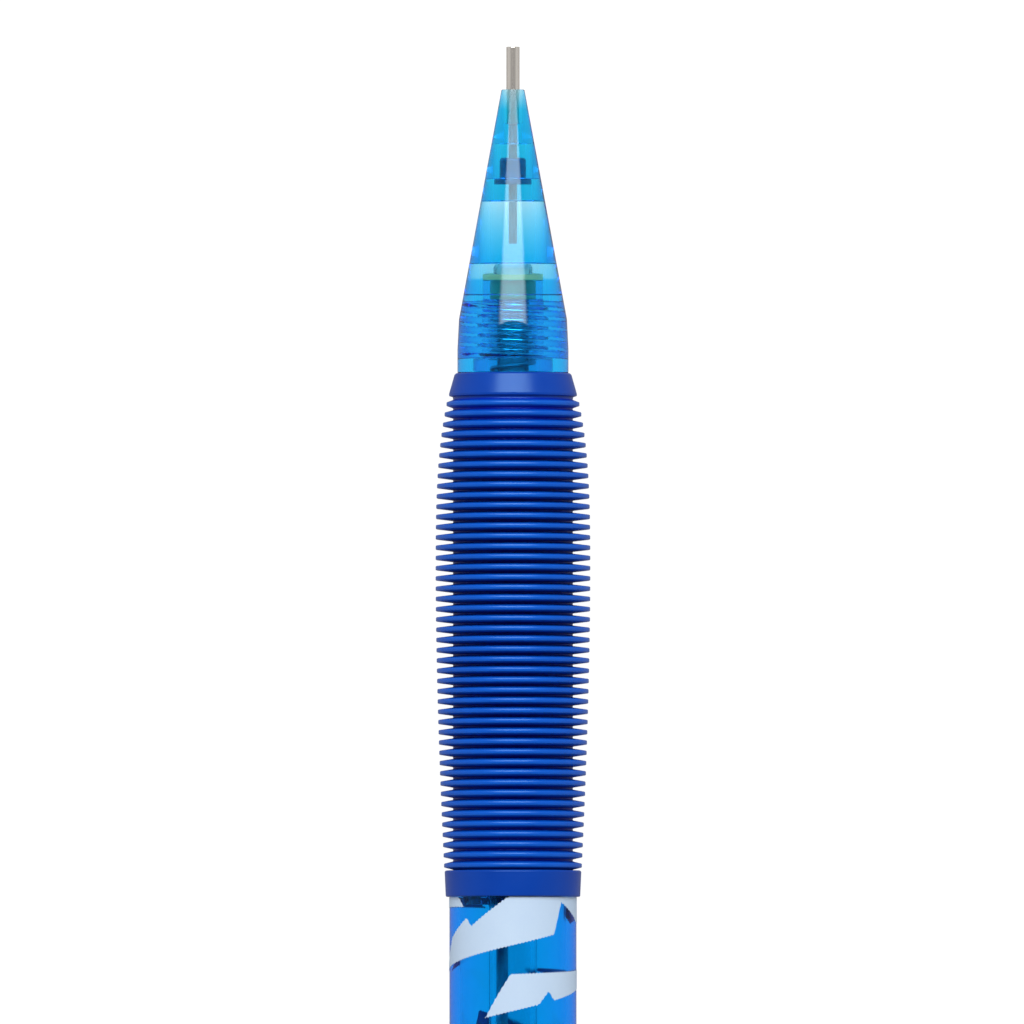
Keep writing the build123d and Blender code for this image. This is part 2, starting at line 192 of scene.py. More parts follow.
def swept(name, path, section, closed_ends=True, sharp_deg=35):
    """Mesh of sections placed by section(i, point) along a path; each gives a ring of 3-D points."""
    rings = [section(i, p) for i, p in enumerate(path)]
    verts = [v for ring in rings for v in ring]
    n = len(rings[0])
    faces = []
    for k in range(len(rings) - 1):
        for i in range(n):
            j = (i + 1) % n
            faces.append((k * n + i, k * n + j, (k + 1) * n + j, (k + 1) * n + i))
    if closed_ends:
        faces.append(tuple(range(n)))
        faces.append(tuple(range(len(verts) - n, len(verts))))
    return finish_mesh(name, verts, faces, sharp_deg)


def place(piece, body, slot, material, *nodes):
    """Rides the piece on a body, gives it its material, and hides the nodes it stands for; the slot argument
    is not used.
    """
    piece.data.materials.append(material)
    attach(piece, body)
    if nodes:
        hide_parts(*nodes)
    return piece


# ---------------------------------------------------------------- materials


class Recipe:
    """A node material under construction, with short calls for the nodes that the finishes share."""

    def __init__(self, name):
        self.material = bpy.data.materials.new(name)
        self.material.use_nodes = True
        self.tree = self.material.node_tree
        self.shader = self.tree.nodes["Principled BSDF"]
        self.out = self.tree.nodes["Material Output"]
        self.where = self.tree.nodes.new("ShaderNodeTexCoord").outputs["Object"]

    def node(self, kind, **inputs):
        made = self.tree.nodes.new(kind)
        for key, value in inputs.items():
            self.feed(made.inputs[key.replace("_", " ")], value)
        return made

    def feed(self, socket, value):
        if isinstance(value, bpy.types.NodeSocket):
            self.tree.links.new(value, socket)
        else:
            socket.default_value = value

    def set(self, **inputs):
        for key, value in inputs.items():
            self.feed(self.shader.inputs[key.replace("_", " ")], value)

    def stretched(self, x, y, z):
        """Object coordinates scaled along each axis."""
        return self.node("ShaderNodeMapping", Vector=self.where, Scale=(x, y, z)).outputs[0]

    def noise(self, scale, detail=3.0, where=None, rough=0.5):
        made = self.node("ShaderNodeTexNoise", Vector=where or self.where, Scale=scale, Detail=detail)
        made.inputs["Roughness"].default_value = rough
        return made.outputs["Fac"]

    def ramp(self, value, low, high, to_low=0.0, to_high=1.0):
        """value between low and high, mapped to between to_low and to_high."""
        made = self.node("ShaderNodeMapRange", Value=value)
        made.inputs["From Min"].default_value = low
        made.inputs["From Max"].default_value = high
        made.inputs["To Min"].default_value = to_low
        made.inputs["To Max"].default_value = to_high
        return made.outputs[0]

    def blend(self, share, one, two):
        made = self.tree.nodes.new("ShaderNodeMix")
        made.data_type = "RGBA"
        self.feed(made.inputs[0], share)
        self.feed(made.inputs[6], one if isinstance(one, bpy.types.NodeSocket) else (*one, 1))
        self.feed(made.inputs[7], two if isinstance(two, bpy.types.NodeSocket) else (*two, 1))
        return made.outputs[2]

    def math(self, operation, one, two):
        made = self.tree.nodes.new("ShaderNodeMath")
        made.operation = operation
        self.feed(made.inputs[0], one)
        self.feed(made.inputs[1], two)
        return made.outputs[0]

    def radius(self):
        """Distance from the pencil's axis, in metres."""
        flat = self.node("ShaderNodeVectorMath", Vector=self.stretched(0, 1, 1))
        flat.operation = "LENGTH"
        return flat.outputs["Value"]

    def bump(self, height, depth_mm, strength=1.0):
        made = self.node("ShaderNodeBump", Height=height, Distance=depth_mm * MM, Strength=strength)
        self.set(Normal=made.outputs[0])


def clear_plastic(name, tint, per_mm, gleam, roughness=0.02, waviness=0.004, bands=(), skin=None):
    """Moulded clear plastic, coloured by what its depth absorbs, with faint flow marks and handling haze.

    bands are (x_from, x_to, tint): from x_from to x_to the surface takes on that tint instead.
    skin is (x_from, r_from, x_to, r_to): only the surface outside that line is tinted.
    """
    r = Recipe(name)
    haze = r.noise(900, 4)
    colour = r.blend(r.ramp(haze, 0.35, 0.7), tint, [0.97 * c for c in tint])
    x = r.node("ShaderNodeSeparateXYZ", Vector=r.where).outputs["X"]
    for x_from, x_to, band_tint in bands:
        colour = r.blend(r.ramp(x, x_from * MM, x_to * MM), colour, band_tint)
    if skin:
        x_from, r_from, x_to, r_to = (v * MM for v in skin)
        outside = r.math("GREATER_THAN", r.radius(), r.ramp(x, x_from, x_to, r_from, r_to))
        colour = r.blend(outside, (0.99, 0.995, 1.0), colour)
    r.set(Base_Color=colour)
    r.set(Roughness=r.ramp(r.noise(2500, 5), 0.45, 0.75, roughness, roughness + 0.05))
    r.set(IOR=1.5, Transmission_Weight=1.0, Specular_Tint=(*gleam, 1))
    r.bump(r.noise(1.0, 2, r.stretched(60, 260, 260)), waviness)
    deepest = max(per_mm)
    soak = r.tree.nodes.new("ShaderNodeVolumeAbsorption")
    soak.inputs["Density"].default_value = deepest / MM
    soak.inputs["Color"].default_value = (*[1 - c / deepest for c in per_mm], 1)
    r.tree.links.new(soak.outputs[0], r.out.inputs["Volume"])
    return r.material


def solid_plastic(name, colour, roughness, shade=0.88, specular=0.5):
    """Opaque moulded plastic with slight cloudiness and a fine moulded skin."""
    r = Recipe(name)
    cloud = r.noise(420, 3)
    r.set(Base_Color=r.blend(r.ramp(cloud, 0.35, 0.65), colour, [shade * c for c in colour]))
    r.set(Roughness=r.ramp(r.noise(1700, 4), 0.3, 0.7, roughness * 0.8, roughness * 1.25))
    r.set(Specular_IOR_Level=specular)
    r.bump(r.noise(9000, 2), 0.003)
    return r.material


def milky_plastic(name, colour):
    """Unfilled engineering plastic that lets light through softly."""
    r = Recipe(name)
    cloud = r.ramp(r.noise(800, 3), 0.3, 0.7)
    r.set(Base_Color=r.blend(cloud, colour, [0.93 * c for c in colour]))
    r.set(Roughness=r.ramp(r.noise(2600, 3), 0.3, 0.7, 0.5, 0.62))
    r.set(IOR=1.42, Transmission_Weight=0.15)
    r.bump(r.noise(9000, 2), 0.002)
    return r.material


def drawn_metal(name, colour, roughness, streak=0.75, turned_round=False, relief=0.002, metallic=1.0):
    """Metal with fine streaks along its length, or round it if it was turned."""
    r = Recipe(name)
    scales = (26000, 900, 900) if turned_round else (120, 14000, 14000)
    lines = r.noise(1.0, 3, r.stretched(*scales))
    r.set(Base_Color=r.blend(r.ramp(lines, 0.3, 0.7), colour, [streak * c for c in colour]))
    r.set(Metallic=metallic)
    r.set(Roughness=r.ramp(lines, 0.3, 0.7, roughness * 0.7, roughness * 1.4))
    r.bump(lines, relief)
    return r.material


def grip_rubber():
    """Soft deep blue rubber with painted light: rib crests painted brighter than the lip and back band, and a
    dark, saturated painted shade in the grooves.
    """
    r = Recipe("grip_rubber")
    x = r.node("ShaderNodeSeparateXYZ", Vector=r.where).outputs["X"]
    lip = r.ramp(x, (RIB_FIRST + 0.3) * MM, (RIB_FIRST + 0.6) * MM)
    band = r.ramp(x, (RIB_LAST - 0.3) * MM, (RIB_LAST - 0.5) * MM)
    # Mask of the groove bottoms, which take a painted shade of dark, saturated blue.
    depth = r.math("MAXIMUM", r.ramp(r.radius(), 0.00500, 0.00540), r.math("MAXIMUM", lip, band))
    cloud = r.ramp(r.noise(350, 4), 0.3, 0.7)
    # Ribs get a brighter colour than the lip and the back band: painted light standing in for light through
    # the thin rubber.
    crest = r.blend(cloud, (0.0008, 0.070, 0.42), (0.0005, 0.060, 0.38))
    smooth = r.blend(cloud, (0.0003, 0.034, 0.28), (0.0002, 0.030, 0.26))
    skin = r.blend(r.math("MAXIMUM", lip, band), crest, smooth)
    # Groove bottoms take the painted shade colour over the rubber's colour.
    r.set(Base_Color=r.blend(depth, (0.0003, 0.004, 0.31), skin))
    r.set(Roughness=r.ramp(r.noise(900, 2), 0.3, 0.7, 0.29, 0.34))
    r.set(Specular_IOR_Level=0.42, Specular_Tint=(0.42, 0.75, 1.0, 1))
    r.bump(r.noise(12000, 2), 0.001)
    return r.material


def small_rubber(name, colour):
    """Moulded rubber of the lead retainer, with slight cloudiness."""
    r = Recipe(name)
    r.set(Base_Color=r.blend(r.ramp(r.noise(2500, 3), 0.3, 0.7), colour, [0.6 * c for c in colour]))
    r.set(Roughness=r.ramp(r.noise(6000, 3), 0.3, 0.7, 0.4, 0.6))
    r.bump(r.noise(20000, 2), 0.003)
    return r.material


def graphite():
    """Polymer graphite lead with fine lines along it: bare dark graphite near the tip, and further back a
    lighter colour that is a painted sheen.
    """
    r = Recipe("graphite")
    x = r.node("ShaderNodeSeparateXYZ", Vector=r.where).outputs["X"]
    lines = r.noise(1.0, 4, r.stretched(300, 9000, 9000))
    streaks = r.ramp(lines, 0.3, 0.7)
    bare_graphite = r.blend(streaks, (0.34, 0.34, 0.37), (0.24, 0.24, 0.27))
    # Lighter colour for the leads further back: a painted sheen.
    sheen_painted_lead = r.blend(streaks, (0.62, 0.64, 0.72), (0.52, 0.54, 0.62))
    r.set(Base_Color=r.blend(r.ramp(x, (GRIP_FRONT - 14) * MM, (GRIP_FRONT - 12) * MM), sheen_painted_lead, bare_graphite))
    r.set(Metallic=0.25)
    r.set(Roughness=r.ramp(lines, 0.3, 0.7, 0.3, 0.45))
    r.bump(lines, 0.002)
    return r.material


def eraser_white():
    """Soft white eraser, with grain, and a grey trace of use on its rounded end."""
    r = Recipe("eraser_white")
    x = r.node("ShaderNodeSeparateXYZ", Vector=r.where).outputs["X"]
    used = r.math("MULTIPLY", r.ramp(x, 0.0046, 0.0022), r.ramp(r.noise(1600, 5), 0.42, 0.66))
    grain = r.ramp(r.noise(7000, 3), 0.3, 0.7)
    fresh = r.blend(grain, (0.86, 0.86, 0.84), (0.80, 0.80, 0.78))
    r.set(Base_Color=r.blend(r.math("MULTIPLY", used, 0.55), fresh, (0.33, 0.33, 0.35)))
    r.set(Roughness=0.75)
    r.set(Subsurface_Weight=0.1, Subsurface_Scale=0.0005)
    r.bump(r.noise(9000, 4), 0.01)
    return r.material


def printed_ink():
    """Screen-printed white with the screen's fine dots; its faint blue is painted light from the blue plastic
    under the thin ink.
    """
    r = Recipe("printed_ink")
    dots = r.node("ShaderNodeTexVoronoi", Vector=r.stretched(9000, 9000, 9000), Scale=1.0)
    grain = r.ramp(dots.outputs["Distance"], 0.2, 0.7)
    patch = r.ramp(r.noise(300, 3), 0.35, 0.65)
    # The blue in these tones is painted light from the plastic under the thin ink.
    tone = r.blend(patch, (0.41, 0.51, 0.63), (0.39, 0.49, 0.62))
    r.set(Base_Color=r.blend(r.math("MULTIPLY", grain, 0.5), tone, (0.37, 0.48, 0.62)))
    r.set(Roughness=0.4, Specular_IOR_Level=0.3)
    r.bump(grain, 0.002)
    return r.material


def tip_plastic():
    """Cyan plastic of the tip, paler over the clutch ring and at the very tip, paling to white towards the
    chamber's front as a painted reflection.
    """
    bands = (
        (NOSE_FRONT + 0.10, NOSE_FRONT + 0.16, (0.80, 0.94, 0.96)),
        (NOSE_FRONT + 1.40, NOSE_FRONT + 1.46, (0.03, 0.80, 0.96)),
        # Tint paling to white over the chamber, towards its front: a painted reflection.
        (NOSE_FRONT + 1.50, NOSE_FRONT + 6.6, (1.0, 1.0, 1.0)),
        (RETAINER_BACK - 1.40, RETAINER_BACK - 1.34, (0.03, 0.62, 0.80)),
        (SLEEVE_BACK + 1.2, CONE_FRONT, (0.70, 0.86, 0.90)),
    )
    skin = (CONE_BACK, 4.3, CONE_FRONT, 0.78)
    tint, per_mm = (0.06, 0.68, 0.93), (0.65, 0.17, 0.03)
    return clear_plastic("tip_blue", tint, per_mm, TIP_GLEAM, bands=bands, skin=skin)


TIP_GLEAM = (0.7, 0.9, 1.0)
BLUE_GLEAM = (0.2, 0.65, 1.0)
PLAIN_GLEAM = (1, 1, 1)
MATERIALS = {
    "tip_blue": tip_plastic(),
    "barrel_blue": clear_plastic("barrel_blue", (0.80, 0.97, 1.0), (4.2, 0.66, 0.09), BLUE_GLEAM),
    "housing_blue": clear_plastic("housing_blue", (0.88, 0.99, 1.0), (1.1, 0.21, 0.03), BLUE_GLEAM, 0.04),
    "natural_plastic": clear_plastic(
        "natural_plastic", (0.96, 0.98, 0.99), (0.08, 0.05, 0.04), PLAIN_GLEAM, 0.12),
    "collar_blue": solid_plastic("collar_blue", (0.002, 0.045, 0.32), 0.22),
    "chuck_plastic": milky_plastic("chuck_plastic", (0.86, 0.89, 0.92)),
    "grip_rubber": grip_rubber(),
    "retainer_rubber": small_rubber("retainer_rubber", (0.008, 0.19, 0.40)),
    "graphite": graphite(),
    "brass": drawn_metal("brass", (0.98, 0.86, 0.46), 0.5, streak=0.9, turned_round=True, metallic=0.7),
    "sleeve_steel": drawn_metal("sleeve_steel", (0.98, 0.91, 0.83), 0.13, 0.92, relief=0.0002, metallic=0.84),
    "spring_steel": drawn_metal("spring_steel", (0.84, 0.85, 0.87), 0.42, streak=0.9, metallic=0.55),
    "ferrule_aluminium": drawn_metal(
        "ferrule_aluminium", (0.82, 0.82, 0.83), 0.25, turned_round=True, metallic=0.85),
    "clip_chrome": drawn_metal("clip_chrome", (0.80, 0.80, 0.82), 0.12, streak=0.93, metallic=0.85),
    "eraser_white": eraser_white(),
}
INK = printed_ink()


# ---------------------------------------------------------------- screw thread


PITCH = 0.8
THREAD_HEIGHT = 0.4
THREAD_ROWS = 0.03
THREAD_PHASE = CONE_BACK + 1.3


def ridge(x, angle, foot, crest, phase=0.0):
    """Height, 0 to 1, of a right-hand thread with ridges of the given foot and crest widths."""
    along = (x - phase + PITCH * angle / TURN) / PITCH
    off = abs(along - round(along)) * PITCH
    share = min(1.0, max(0.0, (foot / 2 - off) / ((foot - crest) / 2)))
    return share * share * (3 - 2 * share)


def threaded(x_from, x_to, r):
    """Outline rows, close together and marked for the wave, from one end of a thread to the other."""
    rows = max(2, round(abs(x_to - x_from) / THREAD_ROWS))
    return [(x_from + (x_to - x_from) * k / rows, r, True) for k in range(rows + 1)]


def run_out(x, low, high, length=0.5):
    """1 along the thread, fading to 0 at both of its ends."""
    return min(1.0, max(0.0, (x - low) / length)) * min(1.0, max(0.0, (high - x) / length))


# ---------------------------------------------------------------- front half


def tip_cone():
    """The screw-off tip, with its stepped bore and its female thread."""
    tip_r, bend_r, back_r = 0.95, 4.465, 4.59
    bend = CONE_FRONT - 19.0
    sleeve_r, guide_r, pocket_r, flange_r, chamber_r = 0.56, 0.5, 1.12, 1.6, 1.9
    bore_r, relief_r, run_out_r, ring_r = 2.6, 3.45, 3.1, 2.7
    pocket_front = CONE_FRONT - 4.55
    flange_step = RETAINER_BACK + 0.5
    chamber_front = flange_step - 1.85
    chamber_back = NOSE_FRONT + 1.47
    low, high = CONE_BACK + 1.2, CONE_BACK + 5.75
    outside = [
        (CONE_FRONT, sleeve_r),
        (CONE_FRONT, tip_r),
        (bend, bend_r),
        (bend - 2.5, back_r),
        (CONE_BACK, back_r),
        (CONE_BACK, relief_r),
        (low, relief_r),
        (low, bore_r),
    ]
    inside = [
        (high, bore_r),
        (high, run_out_r),
        (high + 0.6, run_out_r),
        (high + 0.6, ring_r),
        (chamber_back, ring_r),
        (chamber_back, chamber_r),
        (chamber_front, chamber_r),
        (chamber_front, flange_r),
        (flange_step, flange_r),
        (flange_step, pocket_r),
        (pocket_front, pocket_r),
        (pocket_front, guide_r),
        (SLEEVE_BACK, guide_r),
        (SLEEVE_BACK, sleeve_r),
    ]
    rounded = eased(outside + inside, 0.07)
    at = next(i for i, p in enumerate(rounded) if abs(p[1] - bore_r) < 0.001 and p[0] > high - 0.2)
    outline = rounded[:at] + threaded(low + 0.1, high - 0.1, bore_r) + rounded[at:]

    def groove(x, angle):
        return THREAD_HEIGHT * ridge(x, angle, 0.56, 0.24, THREAD_PHASE) * run_out(x, low, high, 0.4)

    piece = turned("tip_cone_shell", outline, FINE, groove)
    return place(piece, "tip_cone", "tip_blue", MATERIALS["tip_blue"], "tip_cone")


def lead_sleeve():
    """The steel sleeve, a tube with rounded rims."""
    outer, inner = 0.55, 0.39
    outline = eased([
        (SLEEVE_BACK, inner),
        (SLEEVE_FRONT, inner),
        (SLEEVE_FRONT, outer),
        (SLEEVE_BACK, outer),
    ], 0.05)
    piece = turned("sleeve_tube", outline, COARSE)
    return place(piece, "tip_core", "sleeve_steel", MATERIALS["sleeve_steel"], "lead_sleeve")


def rib_radius(x):
    """Radius over the rib at x: the grip bulges, and tapers late towards the front."""
    widest, front_fall, back_fall = 6.4, 0.9, 0.7
    if x > RIB_WIDEST:
        share = (x - RIB_WIDEST) / (RIB_FIRST - RIB_WIDEST)
        return widest - front_fall * share ** 3.2
    share = (RIB_WIDEST - x) / (RIB_WIDEST - RIB_LAST)
    return widest - back_fall * share ** 1.7


def rib_outline(x, body_r):
    """One rib from its front foot to its back foot, with a soft round crest and a filleted root."""
    crest_r = rib_radius(x)
    foot, crest = 0.34, 0.17
    half = [
        (foot + 0.05, body_r),
        (foot, body_r + 0.03),
        (crest + 0.01, crest_r - 0.08),
        (crest - 0.01, crest_r - 0.03),
        (crest - 0.05, crest_r),
    ]
    return [(x + dx, r) for dx, r in half] + [(x - dx, r) for dx, r in reversed(half)]


def grip():
    """The ribbed rubber grip, with its flared front lip and its plain back band."""
    body_r, neck_r, lap_r = 4.95, 4.42, 5.27
    step = (RIB_FIRST - RIB_LAST) / (RIB_COUNT - 1)
    shoulder = BARREL_SHOULDER + 0.03
    front_lip = [
        (GRIP_FRONT, neck_r),
        (GRIP_FRONT, 4.70),
        (GRIP_FRONT - 0.12, 4.84),
        (GRIP_FRONT - 1.7, 5.29),
        (GRIP_FRONT - 1.88, 5.28),
        (RIB_FIRST + step / 2 + 0.16, body_r + 0.04),
    ]
    back_band = [
        (RIB_LAST - 0.4, body_r),
        (GRIP_BACK + 2.17, 5.02),
        (GRIP_BACK + 2.17, 5.57),
        (GRIP_BACK + 2.06, 5.65),
        (GRIP_BACK, 5.56),
        (GRIP_BACK, lap_r),
        (shoulder, lap_r),
        (shoulder, neck_r),
    ]
    ribs = [p for i in range(RIB_COUNT) for p in rib_outline(RIB_FIRST - step * i, body_r)]
    outline = eased(front_lip, 0.06, closed=False) + ribs + eased(back_band, 0.12, closed=False)
    piece = turned("grip_sleeve", outline, FINE, sharp_deg=60)
    return place(piece, "barrel", "grip_rubber", MATERIALS["grip_rubber"], "grip")


def barrel():
    """The clear barrel: full width behind the grip, a thinner neck under it."""
    neck_r, neck_bore_r, bore_r = 4.4, 3.75, 4.4
    hook_step = GRIP_BACK + 0.7
    outline = eased([
        (BARREL_BACK, bore_r),
        (BARREL_BACK, BARREL_R),
        (BARREL_SHOULDER, BARREL_R),
        (BARREL_SHOULDER, neck_r),
        (BARREL_FRONT, neck_r),
        (BARREL_FRONT, neck_bore_r),
        (hook_step, neck_bore_r),
        (hook_step, bore_r),
    ], 0.06)
    piece = turned("barrel_tube", outline, FINE)
    return place(piece, "barrel", "barrel_blue", MATERIALS["barrel_blue"], "barrel")


def cut_slots(piece, x_from, x_to, half_width, reach, turns):
    """The piece without flat slots through the axis, one for each turn in degrees."""
    for turn in turns:
        sides = (-half_width, half_width)
        corners = [(x, y, z) for x in (x_from, x_to) for y in sides for z in (-reach, reach)]
        faces = [(0, 1, 3, 2), (4, 5, 7, 6), (0, 1, 5, 4), (2, 3, 7, 6), (0, 2, 6, 4), (1, 3, 7, 5)]
        cutter = finish_mesh("cutter", corners, faces)
        cutter.rotation_euler = (math.radians(turn), 0, 0)
        cut = piece.modifiers.new("slot", "BOOLEAN")
        cut.object = cutter
        cut.operation = "DIFFERENCE"
        cut.solver = "EXACT"
        graph = bpy.context.evaluated_depsgraph_get()
        mesh = bpy.data.meshes.new_from_object(piece.evaluated_get(graph))
        piece.modifiers.clear()
        piece.data = mesh
        bpy.data.objects.remove(cutter)
    piece.data.set_sharp_from_angle(angle=math.radians(35))


def mechanism_housing():
    """The inner housing, with its threaded nose, its spring seat, and six fingers with hooks."""
    hook_r, sleeve_r, bore_r, spring_r = 4.25, 3.7, 2.8, 2.1
    nose_r, core_r, flange_r, neck_r = 2.5, 2.55, 3.3, 4.4
    stem_r, ring_r = 1.45, 2.0
    seat = NOSE_FRONT - 2.7
    hook_step = GRIP_BACK + 0.67
    low, high = CONE_BACK + 1.1, NOSE_FRONT - 1.7
    back = [
        (HOUSING_BACK, bore_r),
        (seat - 9.5, bore_r),
        (seat - 9.5, spring_r),
        (seat, spring_r),
        (seat, stem_r),
        (seat + 1.0, stem_r),
        (seat + 1.0, ring_r),
        (NOSE_FRONT, ring_r),
        (NOSE_FRONT, nose_r),
        (NOSE_FRONT - 1.6, nose_r),
        (high, core_r),
    ]
    front = [
        (low, core_r),
        (low, flange_r),
        (CONE_BACK - 0.03, flange_r),
        (CONE_BACK - 0.03, neck_r),
        (BARREL_FRONT + 0.03, neck_r),
        (BARREL_FRONT + 0.03, sleeve_r),
        (hook_step, sleeve_r),
        (hook_step, hook_r),
        (GRIP_BACK + 0.2, hook_r),
        (HOUSING_BACK, hook_r - 0.35),
    ]
    rounded = eased(back + front, 0.05)
    at = next(i for i, p in enumerate(rounded) if abs(p[0] - low) < 0.12 and p[1] < core_r + 0.01)
    outline = rounded[:at] + threaded(high - 0.1, low + 0.1, core_r) + rounded[at:]

    def crest(x, angle):
        return THREAD_HEIGHT * ridge(x, angle, 0.46, 0.14, THREAD_PHASE) * run_out(x, low + 0.1, high - 0.1)

    piece = turned("housing_shell", outline, FINE, crest)
    cut_slots(piece, HOUSING_BACK - 1, HOUSING_BACK + 9, 0.65, 6, (32, 92, 152))
    return place(piece, "barrel", "housing_blue", MATERIALS["housing_blue"], "mechanism_housing")


# ---------------------------------------------------------------- print on the barrel

PRINT_GAP = 0.012
PRINT_THICK = 0.015
PRINT_TOOTH = 0.1
PRINT_STEP = 1.6
PRINT_FRONT = GRIP_BACK - 0.06
PRINT_BACK = BARREL_BACK + 0.8


def spike(angle, centre, before, after, height):
    """Triangle of the given height at centre, falling to 0 over before and after, in degrees."""
    off = angle - centre
    reach = before if off < 0 else after
    return height * max(0.0, 1 - abs(off) / reach)


def print_band(name, back, start, length, shape, notches=(), spikes=()):
    """A jagged band round the barrel from start, in degrees, over length.

    shape is (climb per degree, first width, flare per degree, widest). notches cut into its front edge
    and spikes into its back edge: (centre, before, after, height).
    """
    climb, first, flare, widest = shape
    inner, outer = BARREL_R + PRINT_GAP, BARREL_R + PRINT_GAP + PRINT_THICK
    rings = []
    steps = round(length / PRINT_STEP)
    for k in range(steps + 1):
        along = length * k / steps
        taper = max(0.02, min(1.0, along / 24, (length - along) / 12))
        tooth = PRINT_TOOTH if k % 2 else 0
        low = back + climb * along
        width = min(first + flare * along, widest)
        high = low + width * taper - sum(spike(along, *n) for n in notches) - tooth
        low += sum(spike(along, *n) for n in spikes) * taper + tooth
        low = min(max(low, PRINT_BACK), PRINT_FRONT)
        high = min(max(high, low + 0.01), PRINT_FRONT + 0.01)
        turn = math.radians(start + along)
        side, up = -math.sin(turn), math.cos(turn)
        rings.append([
            (low, inner * side, inner * up),
            (high, inner * side, inner * up),
            (high, outer * side, outer * up),
            (low, outer * side, outer * up),
        ])
    piece = swept(name, rings, lambda i, ring: ring)
    place(piece, "barrel", "natural_plastic", INK)


def barrel_print():
    """A patch beside the grip, then jagged bands along the barrel, each starting further round."""
    climb, first, start = 0.022, 1.3, -96
    front = PRINT_FRONT - 6.15
    print_band("print_patch", PRINT_FRONT - 0.85, -152, 102, (0, first, 0, first))
    broad, wedge, regular = (climb, first, 0.042, 9), (climb, 3.6, -0.018, 9), (climb, first, 0.03, 3.4)
    print_band("print_band_1", front, start, 200, broad, [(55, 5.5, 400, 1.06)], [(145, 9, 33, 2.5)])
    print_band("print_band_2", front - 3.9, start + 70, 190, wedge, (), [(60, 10, 6, 0.9)])
    notches = [(50, 6, 30, 0.9), (118, 6, 22, 0.8)]
    spikes = [(145, 9, 30, 1.7), (92, 14, 6, 0.7)]
    for i in range(2, 9):
        back = front - 1.2 - 4.8 * i
        print_band(f"print_band_{i + 1}", back, start + 58 * i, 210, regular, notches, spikes)


# ---------------------------------------------------------------- rear half


def push_cap():
    """The clear push cap over the eraser."""
    inner = CAP_R - 0.7
    outline = eased([
        (CAP_BACK, 0),
        (CAP_BACK, CAP_R - 0.25),
        (CAP_BACK + 4.0, CAP_R),
        (CAP_FRONT, CAP_R),
        (CAP_FRONT, inner),
        (CAP_BACK + 1.3, inner),
        (CAP_BACK + 1.3, 0),
    ], 0.7, 8)
    piece = turned("cap_shell", outline, FINE)
    return place(piece, "push_cap", "barrel_blue", MATERIALS["barrel_blue"], "push_cap")


def clip_path():
    """Middle line of the clip as (x, z) points, from its foot in the collar to its turned-up end."""
    sheet, gap = 0.5, 0.03
    x, top = CLIP_BACK + sheet / 2, 7.7
    bump_x, bump_z = CLIP_FRONT - 4.5, BARREL_R + gap + sheet / 2
    bend, drop, rise = 1.2, 1.2, 0.75
    before, after = 4.2, 3.2
    shoulder = top - bend
    points = [(x, 4.45), (x, 5.2), (x, 5.9), (x, shoulder)]
    points += [(x + bend * (1 - math.cos(a)), shoulder + bend * math.sin(a)) for a in
               (k * math.pi / 16 for k in range(1, 9))]
    arm_end = (bump_x - before, bump_z + drop)
    for k in range(1, 25):
        t = k / 24
        points.append((x + bend + (arm_end[0] - x - bend) * t, top + (arm_end[1] - top) * t))
    for k in range(1, 17):
        off = (before + after) * k / 16 - before
        dip = drop * (off / before) ** 2 if off < 0 else rise * (off / after) ** 2
        points.append((bump_x + off, bump_z + dip))
    lip = CLIP_FRONT - 0.1 - bump_x - after
    for k in range(1, 5):
        t = k / 4
        points.append((bump_x + after + lip * t, bump_z + rise * (1 + t)))
    return points


def pocket_clip():
    """The pressed steel clip: sheet with soft edges, narrowing to a round end."""
    path = clip_path()
    end_x = path[-1][0]
    half_back, narrowing, half_sheet = 1.9, 0.45, 0.25
    taper_start, taper_length, round_end, narrowest = CLIP_BACK + 6, 34, 1.4, 0.18

    def section(i, point):
        x, z = point
        ahead = path[min(i + 1, len(path) - 1)]
        behind = path[max(i - 1, 0)]
        along = Vector((ahead[0] - behind[0], 0, ahead[1] - behind[1])).normalized()
        normal = Vector((-along.z, 0, along.x))
        half = half_back - narrowing * min(1.0, max(0.0, (x - taper_start) / taper_length))
        tip = max(0.0, (x - (end_x - round_end)) / round_end)
        half = max(half * math.sqrt(max(0.0, 1 - tip * tip)), narrowest)
        ring = []
        for k in range(32):
            a = TURN * k / 32
            c, s = math.cos(a), math.sin(a)
            side = half * math.copysign(abs(c) ** 0.28, c)
            lift = half_sheet * math.copysign(abs(s) ** 0.45, s)
            ring.append(Vector((x, side, z)) + normal * lift)
        return ring

    piece = swept("clip_spring", path, section, sharp_deg=50)
    return place(piece, "pocket_clip", "clip_chrome", MATERIALS["clip_chrome"], "pocket_clip")


def eraser():
    """The eraser, slightly rounded by use."""
    back, front = span("eraser")
    r = across("eraser") / 2
    outline = eased([(back, 0), (back, r), (front, r), (front, 0)], 0.75, 8)
    piece = turned("eraser_plug", outline, COARSE)
    return place(piece, "eraser_unit", "eraser_white", MATERIALS["eraser_white"], "eraser")


def chuck_spring():
    """The chuck spring, a wire coil wound from its back seat to its front seat."""
    back, front = span("chuck_spring")
    wire = 0.175
    mean = across("chuck_spring") / 2 - wire
    turns, steps, sides = 10, 28, 12
    start, rise = back + wire, front - back - 2 * wire
    path = [k / (turns * steps) for k in range(turns * steps + 1)]

    def section(i, t):
        angle = TURN * turns * t
        out = Vector((0, -math.sin(angle), math.cos(angle)))
        middle = Vector((start + rise * t, 0, 0)) + out * mean
        ring = []
        for k in range(sides):
            a = TURN * k / sides
            ring.append(middle + Vector((wire * math.cos(a), 0, 0)) + out * wire * math.sin(a))
        return ring

    piece = swept("spring_coil", path, section)
    place(piece, "barrel", "spring_steel", MATERIALS["spring_steel"], "chuck_spring")
    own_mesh(piece)


